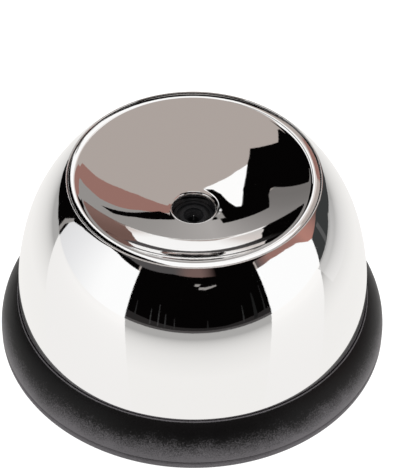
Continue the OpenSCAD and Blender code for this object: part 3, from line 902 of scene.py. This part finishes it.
dish_outline = (
    [(DISH_R, SKIRT_LOW_Z)]
    + arc(edge_c, DISH_EDGE_R, 0, 90 - RIM_TILT, step=6)
    + arc(shoulder_c, SHOULDER_R, 90 - RIM_TILT, shoulder_angle, step=2)
    + arc(bowl_c, bowl_arc, shoulder_angle - 180, hole_angle - 180, step=0.5)
    + arc(hole_c, HOLE_LIP_R, hole_angle, 180, step=4)
    + [(HOLE_R, collar_low_z), (HOLE_R + DISH_WALL, collar_low_z)]
    + arc(hole_c, HOLE_LIP_R - DISH_WALL, 180, hole_angle, step=10)
    + arc(bowl_c, bowl_arc + DISH_WALL, hole_angle - 180, shoulder_angle - 180, step=1)
    + arc(shoulder_c, SHOULDER_R - DISH_WALL, shoulder_angle, 90, step=8)
    + [(skirt_in_r, dish_top_z - DISH_WALL), (skirt_in_r, SKIRT_LOW_Z)]
)
dish_chrome = polished_chrome("dish_chrome", (0.93, 0.925, 0.92), 0.018)
turned("dish", dish_outline, dish_chrome, "plunger", "egg_dish")


# Rubber base. Moulded in one piece with a rounded flank, a thin foot lip below the
# mould's parting line, and two grip grooves underneath. It is stretched over the plate.
RUBBER_W = 3.1
RUBBER_TOP_Z = 8.4
TOP_EDGE_R = 0.15
TOP_EDGE_SPAN = (180, 60)
FLANK_R = 8.1
FLANK_TRIM_HIGH = 2.5
FLANK_TRIM_LOW = 1.5
FOOT_LIP_H = 1.5
FOOT_LIP_SPAN = (70, -90)
CREASE_R = 0.25
CREASE_RISE = 0.1
CREASE_SPAN = (110, 260)
FOOT_W = 7
PLATE_EDGE = 1.1
PLATE_LOW_Z = 1.6
PLATE_TOP_Z = 3.6
GRIP_DEPTH = 0.5
GRIP_W = 0.8
GRIP_INSET = 2
GRIP_PITCH = 2.4
SEAT = 0.05
# Painted light on the rubber, by height: painted shade at the top by the dome, turning to a painted
# sheen low on the flank.
SHADE_TO_SHEEN_START_Z = 7.5
SHADE_TO_SHEEN_FULL_Z = 2
SHADE_TO_SHEEN = (-0.3, 0.18)
# A painted highlight in a band along the rubber's upper edge.
EDGE_HIGHLIGHT_START_Z = RUBBER_TOP_Z - 0.3
EDGE_HIGHLIGHT_FULL_Z = RUBBER_TOP_Z - 0.1
EDGE_HIGHLIGHT = (0, 0.5)
# A darker band along the crease just above the foot lip.
CREASE_DARK = -0.9
CREASE_DARK_HALF_H = 0.15
FINE_SHARE = 0.62
RUBBER_SHARP = 28


def moulded_rubber(name, dark, pale_grain_and_sheen, roughness):
    """Satin moulded rubber: fine grain, painted shade at the top that turns to a painted
    sheen low on the flank, a painted highlight on its upper edge, and a darker band along
    the crease above the foot lip."""
    material, tree, shader, place = surface(name, dark, roughness)
    shader.inputs["Specular IOR Level"].default_value = 0.2
    fine = grain(tree, place, grain_mm=0.22, detail=3)
    broad = grain(tree, place, grain_mm=7, detail=5)
    grit = node(tree, "ShaderNodeMix", Factor=FINE_SHARE)
    link(tree, (broad, 0), (grit, "A"))
    link(tree, (fine, 0), (grit, "B"))
    height = node(tree, "ShaderNodeSeparateXYZ")
    link(tree, (place, "Object"), (height, 0))
    # Painted shade high on the flank, turning to a painted sheen low down.
    low = ranged(tree, (height, "Z"), SHADE_TO_SHEEN_START_Z * MM, SHADE_TO_SHEEN_FULL_Z * MM, *SHADE_TO_SHEEN)
    # Painted highlight along the upper edge, added to the painted shade and sheen below.
    edge_highlight = ranged(tree, (height, "Z"), EDGE_HIGHLIGHT_START_Z * MM, EDGE_HIGHLIGHT_FULL_Z * MM, *EDGE_HIGHLIGHT)
    ends = maths(tree, "ADD", (low, 0), (edge_highlight, 0))
    # A darker band in the crease above the foot lip.
    line_z = (FOOT_LIP_H + CREASE_DARK_HALF_H) * MM
    in_crease_band = maths(tree, "COMPARE", (height, "Z"), line_z, CREASE_DARK_HALF_H * MM)
    painted_light_and_crease_band = maths(tree, "MULTIPLY_ADD", (in_crease_band, 0), CREASE_DARK, (ends, 0))
    # Grain, the painted light and the crease band together set the colour.
    grain_painted_light_and_crease = maths(tree, "ADD", (grit, "Result"), (painted_light_and_crease_band, 0))
    shaded(tree, shader, (grain_painted_light_and_crease, 0), dark, pale_grain_and_sheen)
    glossed(tree, shader, broad, roughness - 0.04, roughness + 0.06)
    bumped(tree, shader, (fine, 0), height_mm=0.014)
    return material


rubber_r = DOME_R + RUBBER_W
chord = (rubber_r - DOME_R, RUBBER_TOP_Z - FOOT_LIP_H)
chord_l = math.hypot(*chord)
flank_rise = math.sqrt(FLANK_R ** 2 - (chord_l / 2) ** 2)
flank_c = (
    (rubber_r + DOME_R) / 2 - flank_rise * chord[1] / chord_l,
    (RUBBER_TOP_Z + FOOT_LIP_H) / 2 - flank_rise * chord[0] / chord_l,
)
flank_low = heading(flank_c, (rubber_r, FOOT_LIP_H)) + FLANK_TRIM_LOW
flank_high = heading(flank_c, (DOME_R, RUBBER_TOP_Z)) - FLANK_TRIM_HIGH
seat_r = DOME_R + SEAT
edge_z = RUBBER_TOP_Z - TOP_EDGE_R
crease_c = (rubber_r, FOOT_LIP_H + CREASE_RISE)
foot_r = FOOT_LIP_H / 2
foot_in_r = rubber_r - FOOT_W
groove_r = seat_r + PLATE_EDGE
grips = []
for k in (1, 0):
    middle = foot_in_r + GRIP_INSET + k * GRIP_PITCH
    grips += [
        (middle + GRIP_W / 2, 0), (middle + GRIP_W / 2, GRIP_DEPTH),
        (middle - GRIP_W / 2, GRIP_DEPTH), (middle - GRIP_W / 2, 0),
    ]
rubber_outline = (
    [(seat_r, PLATE_TOP_Z + SEAT), (seat_r, edge_z)]
    + arc((seat_r + TOP_EDGE_R, edge_z), TOP_EDGE_R, *TOP_EDGE_SPAN, step=20)
    + arc(flank_c, FLANK_R, flank_high, flank_low, step=2)
    + arc(crease_c, CREASE_R, *CREASE_SPAN, step=15)
    + arc((rubber_r - foot_r, foot_r), foot_r, *FOOT_LIP_SPAN, step=10)
    + grips
    + [
        (foot_in_r, 0), (foot_in_r, PLATE_LOW_Z), (groove_r, PLATE_LOW_Z),
        (groove_r, PLATE_TOP_Z + SEAT),
    ]
)
# Its second colour is the pale tone of the grain, the painted sheen and the painted highlight.
base_rubber = moulded_rubber("base_rubber", (0.0015, 0.0013, 0.0014), (0.062, 0.058, 0.062), 0.44)
turned("rubber_ring", rubber_outline, base_rubber, "base", "rubber_base", RUBBER_SHARP)
